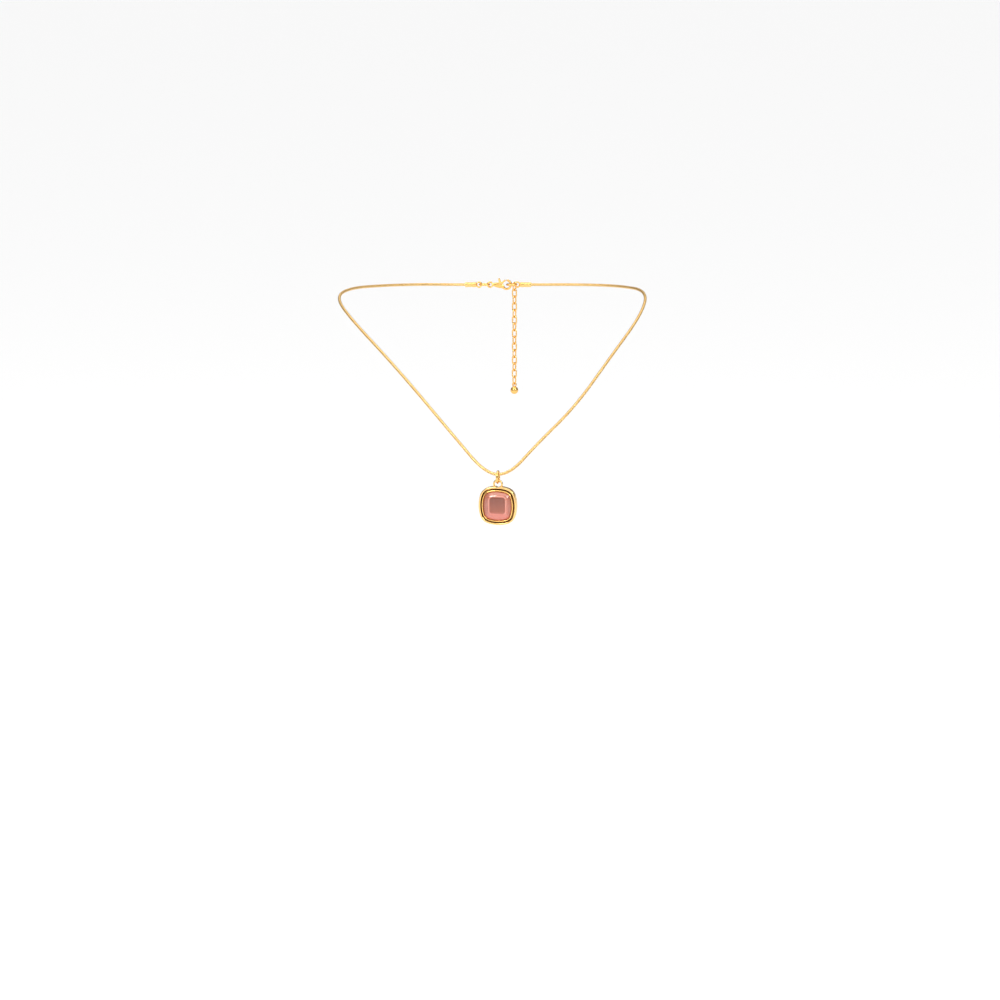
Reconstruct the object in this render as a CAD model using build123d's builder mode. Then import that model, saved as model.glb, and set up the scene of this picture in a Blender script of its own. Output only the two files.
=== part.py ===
"""Pendant necklace, as worn: snake chain, cushion pendant, lobster clasp and extender chain.

Millimetres. X is to the viewer's right, Y away from the viewer, Z up. The origin is at the nape of the
neck, where the closure's rings rest on the skin. The pendant hangs in front, at -Y.
"""

from math import cos, pi, radians, sin, tan
import os

from build123d import *

# chain, one smooth snake chain from cap to cap
chain_radius = 0.6

# closure line behind the neck
closure_y = 2.5

# end caps crimped on the chain
eye_mean_radius = 1.1
eye_wire_radius = 0.35
cap_radius = 1.1
cap_length = 5.0
cap_bore_depth = 3.5
cap_nose_fillet = 0.5
cap_mouth_chamfer = 0.15
cap_crimp_depth = 0.12
cap_crimp_width = 0.5
cap_crimp_places = (0.42, 0.7)

# jump rings of the closure
ring_mean_radius = 2.1
ring_wire_radius = 0.4

# clearance between two wires that hang in each other
wire_gap = 0.06

# clasp
clasp_half_thickness = 0.8
hook_outer_radius = 2.35
hook_inner_radius = 1.4
tail_to_hook = 7.2
hook_slack = 0.1
clasp_fillet = 0.28
shank_start = 1.0
shank_upper = [(shank_start, 0.75), (3.4, 1.15), (5.4, 1.5)]
shank_lower = [(shank_start, -0.75), (3.4, -1.3), (5.4, -1.85)]
lever_half_thickness = 0.3
lever_slot_half_width = 0.42
lever_slot_start = 3.2
lever_slot_end = 6.3
lever_slot_floor = -0.25
lever_boss_radius = 0.66
pivot_along = 4.35
pivot_up = 0.7
rivet_radius = 0.25
rivet_head_overhang = 0.1
rivet_head_height = 0.12
rivet_clearance = 0.06
spring_thickness = 0.12
spring_end = 5.0
spring_rise = 0.8

# extender chain and its end drop
link_count = 15
link_wire_radius = 0.3
link_arc_radius = 1.0
link_half_straight = 0.8
extender_turn = 35.0
drop_eye_radius = 0.9
drop_ball_radius = 1.7

# pendant
bail_mean_radius = 2.2
bail_wire_radius = 0.46
bail_yaw = 11.0
loop_mean_radius = 1.6
loop_wire_radius = 0.41
loop_hole_radius = 1.15
frame_half_width = 7.57
frame_half_height = 7.67
frame_corner_radius = 4.6
frame_side_radius = 13.9
frame_drop = 12.4
pendant_turn = 12.0
frame_back_behind_loop = 1.4
frame_depth = 2.6
frame_rim = 0.8
frame_plate = 0.9
frame_back_recess = 0.25
frame_back_border = 2.2
frame_back_fillet = 0.3
frame_front_fillet = 0.25
groove_width = 0.5
bezel_wall = 0.29
bezel_lip = 0.5
bezel_floor = 0.3
bezel_top = 2.9
bezel_fillet = 0.2
lip_above_girdle = 0.28
cement_thickness = 0.2
cement_inset = 1.0
stone_half_width = 5.95
stone_girdle = 0.7
stone_table_half_width = 3.1
stone_table_half_height = 3.3
stone_table_corner = 1.2
stone_crown = 1.8

# lengths along the closure, worked out from one eye to the other
hang = ring_wire_radius + eye_wire_radius + wire_gap
eye_to_ring = ring_mean_radius + eye_mean_radius - hang
ring_to_hook = ring_mean_radius + hook_slack
closure_span = 3 * eye_to_ring + tail_to_hook + ring_to_hook
left_eye_x = -closure_span / 2
right_eye_x = closure_span / 2
left_ring_x = left_eye_x + eye_to_ring
tail_x = left_ring_x + eye_to_ring
hook_x = tail_x + tail_to_hook
right_ring_x = hook_x + ring_to_hook
chain_end_x = right_eye_x + eye_mean_radius + cap_length - cap_bore_depth

# the chain's route, from the left cap over the shoulder, down to the pendant and back to the right cap
chain_bottom_y = -117.0
chain_bottom_z = -60.0
chain_route = [
    (-chain_end_x, closure_y, 0.0),
    (-19.5, closure_y, 0.0),
    (-34.5, -3.0, 0.8),
    (-50.5, -14.5, 1.6),
    (-62.0, -29.5, 2.4),
    (-66.8, -46.0, 1.2),
    (-62.5, -59.5, -4.2),
    (-40.3, -86.5, -23.0),
    (-17.0, -107.5, -47.0),
    (-4.6, chain_bottom_y, chain_bottom_z),
    (4.6, chain_bottom_y, chain_bottom_z),
    (15.0, -109.0, -49.8),
    (30.8, -93.5, -37.2),
    (46.0, -73.0, -19.8),
    (59.2, -53.0, -5.6),
    (62.6, -35.0, 2.0),
    (51.5, -16.8, 1.8),
    (35.5, -3.8, 0.8),
    (19.5, closure_y, 0.0),
    (chain_end_x, closure_y, 0.0),
]


def arc_radii(route):
    """The arc at each corner takes 0.45 of the shorter run beside it."""
    radii = []
    for before, corner, after in zip(route, route[1:], route[2:]):
        run_in = Vector(corner) - Vector(before)
        run_out = Vector(after) - Vector(corner)
        turn = radians(run_in.get_angle(run_out))
        radii.append(0.45 * min(run_in.length, run_out.length) / tan(turn / 2))
    return radii


def cushion(inset=0.0):
    """Cushion outline, eight arcs: four long side arcs and four corner arcs, moved in by the inset."""
    corner = frame_corner_radius - inset
    side = frame_side_radius - inset
    half_width = frame_half_width - inset
    half_height = frame_half_height - inset
    # the corner arc is tangent to both side arcs, so its centre is as far from one side centre as from the other
    reach = side - corner
    side_centre_x = Vector(half_width - side, 0)
    side_centre_y = Vector(0, half_height - side)
    between = (side_centre_x + side_centre_y) / 2
    outward = Vector(-side_centre_y.Y, -side_centre_x.X).normalized()
    half_gap = (side_centre_x - side_centre_y).length / 2
    centre = between + outward * (reach**2 - half_gap**2) ** 0.5
    along_x = (centre - side_centre_x).normalized()
    along_y = (centre - side_centre_y).normalized()
    right_end = centre + along_x * corner
    corner_middle = centre + (along_x + along_y).normalized() * corner
    top_end = centre + along_y * corner
    with BuildLine() as outline:
        for turn_x, turn_y in ((1, 1), (-1, 1), (-1, -1), (1, -1)):
            ThreePointArc(
                (turn_x * right_end.X, turn_y * right_end.Y),
                (turn_x * corner_middle.X, turn_y * corner_middle.Y),
                (turn_x * top_end.X, turn_y * top_end.Y),
            )
        for turn in (1, -1):
            ThreePointArc(
                (top_end.X, turn * top_end.Y), (0, turn * half_height), (-top_end.X, turn * top_end.Y)
            )
            ThreePointArc(
                (turn * right_end.X, right_end.Y), (turn * half_width, 0), (turn * right_end.X, -right_end.Y)
            )
    make_face(outline.edges())


os.makedirs("parts", exist_ok=True)

# ---------------------------------------------------------------- chain and its end caps

chain_radii = arc_radii(chain_route)
print("chain arc radii", [round(radius, 1) for radius in chain_radii])

with BuildPart() as snake_chain:
    with BuildLine():
        chain_line = FilletPolyline(*chain_route, radius=chain_radii)
    with BuildSketch(Plane(origin=chain_line @ 0, z_dir=chain_line % 0)):
        Circle(chain_radius)
    sweep(path=chain_line)
chain_length = chain_line.length
snake_chain.part.label = "snake_chain"
export_step(snake_chain.part, "parts/snake_chain.step")
print("chain length", round(chain_length, 1))
tube_volume = pi * chain_radius**2 * chain_length
print("chain volume over section times length", round(snake_chain.part.volume / tube_volume, 4))


def end_cap(side):
    """Crimped tube with a blind bore for the chain and a cast eye; side is -1 at the left and 1 at the right."""
    along_chain = Plane(origin=(side * right_eye_x, closure_y, 0), x_dir=(0, 1, 0), z_dir=(side, 0, 0))
    start = eye_mean_radius
    with BuildPart(along_chain) as cap:
        with Locations((0, 0, start)):
            Cylinder(cap_radius, cap_length, align=(Align.CENTER, Align.CENTER, Align.MIN))
        fillet(cap.edges().group_by(Axis.X)[0 if side > 0 else -1], cap_nose_fillet)
        chamfer(cap.edges().group_by(Axis.X)[-1 if side > 0 else 0], cap_mouth_chamfer)
        for crimp in cap_crimp_places:
            with Locations((0, 0, start + crimp * cap_length)):
                Cylinder(cap_radius + 0.1, cap_crimp_width, mode=Mode.SUBTRACT)
                Cylinder(cap_radius - cap_crimp_depth, cap_crimp_width + 0.01)
        Torus(eye_mean_radius, eye_wire_radius, rotation=(0, 90, 0))
        with Locations((0, 0, start + cap_length)):
            Cylinder(
                chain_radius,
                cap_bore_depth,
                align=(Align.CENTER, Align.CENTER, Align.MAX),
                mode=Mode.SUBTRACT,
            )
    return cap


left_end_cap = end_cap(-1)
left_end_cap.part.label = "left_end_cap"
export_step(left_end_cap.part, "parts/left_end_cap.step")

right_end_cap = end_cap(1)
right_end_cap.part.label = "right_end_cap"
export_step(right_end_cap.part, "parts/right_end_cap.step")

# ---------------------------------------------------------------- closure

with BuildPart(Plane((left_ring_x, closure_y, 0))) as left_jump_ring:
    Torus(ring_mean_radius, ring_wire_radius)
left_jump_ring.part.label = "left_jump_ring"
export_step(left_jump_ring.part, "parts/left_jump_ring.step")

with BuildPart(Plane((right_ring_x, closure_y, 0))) as right_jump_ring:
    Torus(ring_mean_radius, ring_wire_radius)
right_jump_ring.part.label = "right_jump_ring"
export_step(right_jump_ring.part, "parts/right_jump_ring.step")

# seen from the front, the clasp runs along +X from its tail eye, with its gate side up
clasp_plane = Plane(origin=(tail_x, closure_y, 0), x_dir=(1, 0, 0), z_dir=(0, -1, 0))
gate_root_angle = 158.0
# the gate's tip and the hook's end are cut round the rivet, so that the gate clears the hook as it opens
gate_outer_tip_angle = 103.0
gate_inner_tip_angle = 97.5
gate_outer_radius = hook_outer_radius - 0.05
gate_inner_radius = hook_inner_radius + 0.2


def on_hook(radius, degrees):
    """A point round the hook's centre."""
    return (tail_to_hook + radius * cos(radians(degrees)), radius * sin(radians(degrees)))


with BuildPart(clasp_plane) as clasp_body:
    with BuildSketch(clasp_plane):
        with Locations((tail_to_hook, 0)):
            Circle(hook_outer_radius)
        with BuildLine():
            shank_top = Spline(*shank_upper, (tail_to_hook, hook_outer_radius))
            shank_bottom = Spline(*shank_lower, (tail_to_hook, -hook_outer_radius))
            Line(shank_top @ 0, shank_bottom @ 0)
            Line(shank_top @ 1, shank_bottom @ 1)
        make_face()
        with Locations((tail_to_hook, 0)):
            Circle(hook_inner_radius, mode=Mode.SUBTRACT)
        with BuildLine():
            Polyline(
                on_hook(1.2, 88),
                on_hook(2.5, 101),
                on_hook(3.6, 115),
                on_hook(3.6, 130),
                on_hook(2.9, gate_root_angle),
                on_hook(0.9, gate_root_angle),
                close=True,
            )
        make_face(mode=Mode.SUBTRACT)
    extrude(amount=clasp_half_thickness, both=True)
    fillet(clasp_body.edges().filter_by(Plane.XZ), clasp_fillet)
    with Locations((0, 0, 0)):
        Torus(eye_mean_radius, eye_wire_radius)
    with BuildSketch(clasp_plane):
        with Locations((lever_slot_start, lever_slot_floor)):
            Rectangle(lever_slot_end - lever_slot_start, 2 * hook_outer_radius, align=Align.MIN)
    extrude(amount=lever_slot_half_width, both=True, mode=Mode.SUBTRACT)
    with BuildSketch(clasp_plane):
        with Locations((pivot_along, pivot_up)):
            Circle(rivet_radius)
    extrude(amount=clasp_half_thickness, both=True, mode=Mode.SUBTRACT)
clasp_body.part.label = "clasp_body"
export_step(clasp_body.part, "parts/clasp_body.step")

with BuildPart(clasp_plane) as clasp_rivet:
    with Locations((pivot_along, pivot_up, 0)):
        Cylinder(rivet_radius, 2 * clasp_half_thickness)
    for face in (-1, 1):
        with Locations((pivot_along, pivot_up, face * (clasp_half_thickness + rivet_head_height / 2))):
            Cylinder(rivet_radius + rivet_head_overhang, rivet_head_height)
clasp_rivet.part.label = "clasp_rivet"
export_step(clasp_rivet.part, "parts/clasp_rivet.step")

with BuildPart(clasp_plane) as clasp_lever:
    with BuildSketch(clasp_plane):
        # gate, which continues the hook's ring
        with BuildLine():
            outer_gate = ThreePointArc(
                on_hook(gate_outer_radius, gate_outer_tip_angle),
                on_hook(gate_outer_radius, 125),
                on_hook(gate_outer_radius, 150),
            )
            inner_gate = ThreePointArc(
                on_hook(gate_inner_radius, gate_inner_tip_angle),
                on_hook(gate_inner_radius, 130),
                on_hook(gate_inner_radius, 165),
            )
            Line(outer_gate @ 0, inner_gate @ 0)
            Line(outer_gate @ 1, (pivot_along, pivot_up + lever_boss_radius))
            Line((pivot_along, pivot_up + lever_boss_radius), (pivot_along + 0.2, pivot_up - 0.6))
            Line((pivot_along + 0.2, pivot_up - 0.6), inner_gate @ 1)
        make_face()
        with Locations((pivot_along, pivot_up)):
            Circle(lever_boss_radius)
        # thumb tab
        with BuildLine():
            Polyline(
                (pivot_along - 0.6, pivot_up + 0.2),
                (pivot_along - 0.95, pivot_up + 1.9),
                (pivot_along - 0.55, pivot_up + 2.15),
                (pivot_along - 0.1, pivot_up + 1.95),
                (pivot_along + 0.55, pivot_up + 0.3),
                close=True,
            )
        make_face()
        with Locations((pivot_along, pivot_up)):
            Circle(rivet_radius + rivet_clearance, mode=Mode.SUBTRACT)
    extrude(amount=lever_half_thickness, both=True)
clasp_lever.part.label = "clasp_lever"
export_step(clasp_lever.part, "parts/clasp_lever.step")

# leaf spring on the floor of the lever's slot, with its free end turned up behind the lever's heel
with BuildPart(clasp_plane) as clasp_spring:
    with BuildSketch(clasp_plane):
        with BuildLine():
            Polyline(
                (lever_slot_start, lever_slot_floor),
                (spring_end, lever_slot_floor),
                (spring_end, lever_slot_floor + spring_thickness),
                (lever_slot_start + 0.15, lever_slot_floor + spring_thickness),
                (lever_slot_start + 0.22, lever_slot_floor + spring_rise),
                (lever_slot_start + 0.1, lever_slot_floor + spring_rise),
                close=True,
            )
        make_face()
    extrude(amount=lever_half_thickness, both=True)
clasp_spring.part.label = "clasp_spring"
export_step(clasp_spring.part, "parts/clasp_spring.step")

# ---------------------------------------------------------------- extender chain

link_pitch = 2 * (link_half_straight + link_arc_radius - link_wire_radius) - wire_gap
link_top = link_half_straight + link_arc_radius
first_link_z = ring_wire_radius + link_wire_radius + wire_gap - link_top
# the extender hangs from the ring's back, turned towards the end cap and clear of the hook
outward = (sin(radians(extender_turn)), cos(radians(extender_turn)), 0)
inward = (-sin(radians(extender_turn)), -cos(radians(extender_turn)), 0)
sideways = (cos(radians(extender_turn)), -sin(radians(extender_turn)), 0)
extender_x = right_ring_x + ring_mean_radius * outward[0]
extender_y = closure_y + ring_mean_radius * outward[1]

for number in range(1, link_count + 1):
    link_z = first_link_z - (number - 1) * link_pitch
    # links stand at right angles to each other, the first one across the ring's wire
    across = outward if number % 2 else sideways
    normal = sideways if number % 2 else inward
    link_plane = Plane(origin=(extender_x, extender_y, link_z), x_dir=across, z_dir=normal)
    with BuildPart(link_plane) as link:
        with BuildLine(link_plane) as link_line:
            Line((-link_arc_radius, -link_half_straight), (-link_arc_radius, link_half_straight))
            ThreePointArc(
                (-link_arc_radius, link_half_straight), (0, link_top), (link_arc_radius, link_half_straight)
            )
            Line((link_arc_radius, link_half_straight), (link_arc_radius, -link_half_straight))
            ThreePointArc(
                (link_arc_radius, -link_half_straight), (0, -link_top), (-link_arc_radius, -link_half_straight)
            )
        link_path = link_line.wires()[0]
        with BuildSketch(Plane(origin=link_path @ 0, z_dir=link_path % 0)):
            Circle(link_wire_radius)
        sweep(path=link_path)
    link.part.label = f"extender_link_{number:02d}"
    export_step(link.part, f"parts/extender_link_{number:02d}.step")

last_link_bottom_z = first_link_z - (link_count - 1) * link_pitch - link_top
drop_eye_z = last_link_bottom_z + 2 * link_wire_radius + wire_gap - drop_eye_radius
drop_ball_z = drop_eye_z - drop_eye_radius - drop_ball_radius + link_wire_radius / 2
drop_plane = Plane(origin=(extender_x, extender_y, drop_eye_z), x_dir=sideways, z_dir=inward)
with BuildPart(drop_plane) as end_drop:
    Torus(drop_eye_radius, link_wire_radius)
    with Locations((0, drop_ball_z - drop_eye_z, 0)):
        Sphere(drop_ball_radius)
end_drop.part.label = "end_drop"
export_step(end_drop.part, "parts/end_drop.step")

# ---------------------------------------------------------------- bail

bail_z = chain_bottom_z + chain_radius + bail_wire_radius + wire_gap - bail_mean_radius
bail_normal = (cos(radians(bail_yaw)), -sin(radians(bail_yaw)), 0)
with BuildPart(Plane(origin=(0, chain_bottom_y, bail_z), z_dir=bail_normal)) as bail_ring:
    Torus(bail_mean_radius, bail_wire_radius)
bail_ring.part.label = "bail_ring"
export_step(bail_ring.part, "parts/bail_ring.step")

# ---------------------------------------------------------------- pendant

bail_bottom_z = bail_z - bail_mean_radius
loop_z = bail_bottom_z + bail_wire_radius + loop_wire_radius + wire_gap - loop_mean_radius
frame_z = chain_bottom_z - frame_drop
turn_sin = sin(radians(pendant_turn))
turn_cos = cos(radians(pendant_turn))
back_centre = (frame_back_behind_loop * turn_sin, chain_bottom_y + frame_back_behind_loop * turn_cos, frame_z)
# the pendant hangs turned a little to the viewer's left; local x runs to its right, local y is Z, and it
# grows from its back plane towards the front
back_plane = Plane(origin=back_centre, x_dir=(turn_cos, -turn_sin, 0), z_dir=(-turn_sin, -turn_cos, 0))
front_axis = Axis(back_centre, (-turn_sin, -turn_cos, 0))

with BuildPart(back_plane) as pendant_frame:
    with BuildSketch(back_plane):
        cushion()
    extrude(amount=frame_depth)
    fillet(pendant_frame.edges().group_by(front_axis)[-1], frame_front_fillet)
    fillet(pendant_frame.edges().group_by(front_axis)[0], frame_back_fillet)
    with Locations((0, loop_z - frame_z, frame_back_behind_loop)):
        Torus(loop_mean_radius, loop_wire_radius)
    with BuildSketch(back_plane.offset(frame_plate)):
        cushion(frame_rim)
    extrude(amount=frame_depth, mode=Mode.SUBTRACT)
    with BuildSketch(back_plane):
        cushion(frame_back_border)
    extrude(amount=frame_back_recess, mode=Mode.SUBTRACT)
    with Locations((0, loop_z - frame_z, frame_back_behind_loop)):
        Cylinder(loop_hole_radius, 2 * frame_depth, mode=Mode.SUBTRACT)
pendant_frame.part.label = "pendant_frame"
export_step(pendant_frame.part, "parts/pendant_frame.step")

bezel_inset = frame_rim + groove_width
stone_back = frame_plate + bezel_floor + cement_thickness
with BuildPart(back_plane) as bezel_cup:
    with BuildSketch(back_plane.offset(frame_plate)):
        cushion(bezel_inset)
    extrude(amount=bezel_top - frame_plate)
    with BuildSketch(back_plane.offset(frame_plate + bezel_floor)):
        cushion(bezel_inset + bezel_wall)
    extrude(amount=cement_thickness + stone_girdle + lip_above_girdle, mode=Mode.SUBTRACT)
    with BuildSketch(back_plane.offset(frame_plate + bezel_floor)):
        cushion(bezel_inset + bezel_lip)
    extrude(amount=bezel_top, mode=Mode.SUBTRACT)
    fillet(bezel_cup.edges().group_by(front_axis)[-1], bezel_fillet)
bezel_cup.part.label = "bezel_cup"
export_step(bezel_cup.part, "parts/bezel_cup.step")

with BuildPart(back_plane) as stone_cement:
    with BuildSketch(back_plane.offset(frame_plate + bezel_floor)):
        cushion(bezel_inset + cement_inset)
    extrude(amount=cement_thickness)
stone_cement.part.label = "stone_cement"
export_step(stone_cement.part, "parts/stone_cement.step")

stone_inset = frame_half_width - stone_half_width
with BuildPart(back_plane) as stone:
    with BuildSketch(back_plane.offset(stone_back)):
        cushion(stone_inset)
    extrude(amount=stone_girdle)
    with BuildSketch(back_plane.offset(stone_back + stone_girdle)):
        cushion(stone_inset)
    with BuildSketch(back_plane.offset(stone_back + stone_girdle + stone_crown)):
        RectangleRounded(2 * stone_table_half_width, 2 * stone_table_half_height, stone_table_corner)
    loft()
stone.part.label = "stone"
export_step(stone.part, "parts/stone.step")
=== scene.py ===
"""Pendant necklace, as worn: snake chain, cushion pendant, lobster clasp and extender chain.

Metres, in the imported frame. X is to the viewer's right, Y away from the viewer, Z up. The origin is at the
nape of the neck, and the pendant hangs in front, at -Y.
"""

from math import atan2, copysign, cos, pi, radians, sin, tau

import bmesh
import bpy
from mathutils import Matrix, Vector


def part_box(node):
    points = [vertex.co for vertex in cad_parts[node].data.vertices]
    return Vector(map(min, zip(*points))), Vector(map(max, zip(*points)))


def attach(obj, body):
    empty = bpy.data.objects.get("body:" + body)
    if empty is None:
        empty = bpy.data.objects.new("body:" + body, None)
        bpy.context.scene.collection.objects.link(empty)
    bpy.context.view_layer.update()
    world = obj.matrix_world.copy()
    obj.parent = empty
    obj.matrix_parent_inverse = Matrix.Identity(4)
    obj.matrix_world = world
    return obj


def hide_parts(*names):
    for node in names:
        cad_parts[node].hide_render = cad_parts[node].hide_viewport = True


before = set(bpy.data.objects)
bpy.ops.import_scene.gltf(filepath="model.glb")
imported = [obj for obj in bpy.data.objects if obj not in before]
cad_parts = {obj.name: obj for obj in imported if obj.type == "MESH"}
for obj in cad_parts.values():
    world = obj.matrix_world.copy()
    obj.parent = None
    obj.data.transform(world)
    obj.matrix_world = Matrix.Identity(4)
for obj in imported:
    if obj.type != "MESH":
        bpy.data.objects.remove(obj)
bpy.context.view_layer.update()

scene = bpy.context.scene

# ---------------------------------------------------------------- sizes

chain_diameter = 0.0012
plate_pitch = 0.0006
plate_wave = 0.00017
plate_lobes = 4
plate_sides = 24
plate_groove = 0.13

wire_cut = 0.00005
cut_edge = 0.00004
wire_sides = 24

eye_mean_radius = 0.0011
eye_wire_radius = 0.00035
cap_radius = 0.0011
cap_length = 0.005
cap_bore_depth = 0.0035
cap_crimp_depth = 0.00012
cap_crimp_width = 0.0005
cap_crimp_places = (0.42, 0.7)

ring_mean_radius = 0.0021
ring_wire_radius = 0.0004

link_count = 15
link_arc_radius = 0.001
link_half_straight = 0.0008
link_wire_radius = 0.0003
extender_turn = radians(35)
drop_eye_radius = 0.0009
drop_ball_radius = 0.0017

bail_mean_radius = 0.0022
bail_wire_radius = 0.00046
bail_yaw = radians(11)

loop_mean_radius = 0.0016
loop_wire_radius = 0.00041
loop_hole_radius = 0.00115
pendant_turn = radians(12)
frame_back_behind_loop = 0.0014

frame_half_width = 0.00757
frame_half_height = 0.00767
frame_corner_radius = 0.0046
frame_side_radius = 0.0139
frame_depth = 0.0026
frame_rim = 0.0008
frame_plate = 0.0009
bezel_inset = 0.0013
bezel_top = 0.0029
bezel_floor = 0.0012
cement_top = 0.0014
cement_inset = 0.0023
stone_inset = 0.00162
stone_girdle = 0.0021
stone_top = 0.0039
table_half_width = 0.0031
table_half_height = 0.0033
table_corner = 0.0012
# the dark window painted on the stone's table, shifted right and up, and the painted highlight line round it
window_right = 0.00022
window_up = 0.0004
window_fade = 0.00016
window_line = 0.00028
window_line_width = 0.00026
crown_swell = 0.16

clasp_half_thickness = 0.0008
hook_from_tail = 0.0072
hook_mean_radius = 0.001875
hook_half_band = 0.000475
pivot_along = 0.00435
pivot_up = 0.0007
slot_half_width = 0.00042
lever_half_thickness = 0.0003
lever_edge = 0.00009
rivet_radius = 0.00025

# the chain's route, from the left cap over the shoulder, down to the pendant and back to the right cap
chain_route = [
    (-0.010885, 0.0025, 0.0),
    (-0.0195, 0.0025, 0.0),
    (-0.0345, -0.003, 0.0008),
    (-0.0505, -0.0145, 0.0016),
    (-0.062, -0.0295, 0.0024),
    (-0.0668, -0.046, 0.0012),
    (-0.0625, -0.0595, -0.0042),
    (-0.0403, -0.0865, -0.023),
    (-0.017, -0.1075, -0.047),
    (-0.0046, -0.117, -0.06),
    (0.0046, -0.117, -0.06),
    (0.015, -0.109, -0.0498),
    (0.0308, -0.0935, -0.0372),
    (0.046, -0.073, -0.0198),
    (0.0592, -0.053, -0.0056),
    (0.0626, -0.035, 0.002),
    (0.0515, -0.0168, 0.0018),
    (0.0355, -0.0038, 0.0008),
    (0.0195, 0.0025, 0.0),
    (0.010885, 0.0025, 0.0),
]
chain_bottom = Vector((0, -0.117, -0.06))

# ---------------------------------------------------------------- camera

camera_elevation = radians(12)
camera_distance = 0.921
camera_lens = 85
aim_right = 0.0008
aim_below = 0.01


def make_camera():
    """A long lens a little above the pendant, aimed just below the chain's lowest point."""
    towards = Vector((0, cos(camera_elevation), -sin(camera_elevation)))
    up = Vector((0, sin(camera_elevation), cos(camera_elevation)))
    camera = bpy.data.objects.new("camera", bpy.data.cameras.new("camera"))
    camera.data.lens = camera_lens
    camera.data.clip_start = 0.01
    camera.location = chain_bottom + Vector((aim_right, 0, 0)) - up * aim_below - towards * camera_distance
    camera.rotation_euler = (pi / 2 - camera_elevation, 0, 0)
    scene.collection.objects.link(camera)
    scene.camera = camera


make_camera()

# ---------------------------------------------------------------- finishes


class Value:
    """A shader socket that can stand in a sum."""

    def __init__(self, finish, socket):
        self.finish = finish
        self.socket = socket

    def maths(self, operation, *terms):
        sockets = dict(enumerate(terms))
        return self.finish.node("ShaderNodeMath", {"operation": operation}, sockets)

    def __add__(self, other):
        return self.maths("ADD", self, other)

    def __sub__(self, other):
        return self.maths("SUBTRACT", self, other)

    def __rsub__(self, other):
        return self.maths("SUBTRACT", other, self)

    def __mul__(self, other):
        return self.maths("MULTIPLY", self, other)

    def __abs__(self):
        return self.maths("ABSOLUTE", self)

    def kept(self):
        """The value, held between 0 and 1."""
        return self.finish.node("ShaderNodeClamp", {}, {"Value": self})

    __radd__ = __add__
    __rmul__ = __mul__


class Nodes:
    """A node tree and one way to add each node to it."""

    def __init__(self, tree):
        self.tree = tree

    def node(self, kind, settings, sockets, output=0):
        """A new node: its settings are set first, then its sockets, and one output is given back."""
        made = self.tree.nodes.new(kind)
        for setting, value in settings.items():
            setattr(made, setting, value)
        for key, value in sockets.items():
            if isinstance(value, Value):
                self.tree.links.new(value.socket, made.inputs[key])
            else:
                made.inputs[key].default_value = value
        return Value(self, made.outputs[output])

    def mixed(self, amount, first, second):
        """The first colour, going over to the second as the amount goes from 0 to 1."""
        return self.node("ShaderNodeMix", {"data_type": "RGBA"}, {0: amount, 6: first, 7: second}, 2)

    def between(self, value, low, high):
        """0 where the value is under low, 1 where it is over high, and smooth between them."""
        settings = {"interpolation_type": "SMOOTHSTEP"}
        sockets = {"Value": value, "From Min": low, "From Max": high}
        return self.node("ShaderNodeMapRange", settings, sockets)

    def apart(self, vector):
        """The three parts of a vector."""
        split = self.node("ShaderNodeSeparateXYZ", {}, {"Vector": vector}).socket.node
        return [Value(self, part) for part in split.outputs]


class Finish(Nodes):
    """A node material for one finish of the necklace."""

    def __init__(self, name):
        self.material = bpy.data.materials.new(name)
        self.material.use_nodes = True
        super().__init__(self.material.node_tree)
        self.shader = self.tree.nodes["Principled BSDF"]
        self.place = self.node("ShaderNodeTexCoord", {}, {}, "Object")

    def noise(self, size, detail=2.0, stretch=(1, 1, 1)):
        """Noise of that grain size in metres, from 0 to 1; a stretch under 1 draws it out along an axis."""
        scaled = self.node(
            "ShaderNodeVectorMath",
            {"operation": "MULTIPLY"},
            {0: self.place, 1: tuple(factor / size for factor in stretch)},
        )
        sockets = {"Vector": scaled, "Scale": 1.0, "Detail": detail}
        return self.node("ShaderNodeTexNoise", {}, sockets, "Fac")

    def marked(self, name):
        """A number that the mesh carries at each of its points."""
        return self.node("ShaderNodeAttribute", {"attribute_name": name}, {}, "Fac")

    def bump(self, height, depth, strength=1.0):
        """A surface raised by height, in metres of depth."""
        return self.node("ShaderNodeBump", {}, {"Height": height, "Distance": depth, "Strength": strength})

    def show(self, **sockets):
        """Sets the shader's own sockets; Base_Color stands for Base Color."""
        for key, value in sockets.items():
            socket = self.shader.inputs[key.replace("_", " ")]
            if isinstance(value, Value):
                self.tree.links.new(value.socket, socket)
            else:
                socket.default_value = value
        return self.material


gold_deep = (0.82, 0.45, 0.12, 1)
gold_plain = (0.94, 0.6, 0.21, 1)
# the pale gold serves worn edges and painted highlights; the dark gold is painted shade
gold_pale_wear_and_highlight = (1.0, 0.82, 0.45, 1)
gold_painted_shade = (0.07, 0.02, 0.004, 1)


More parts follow.
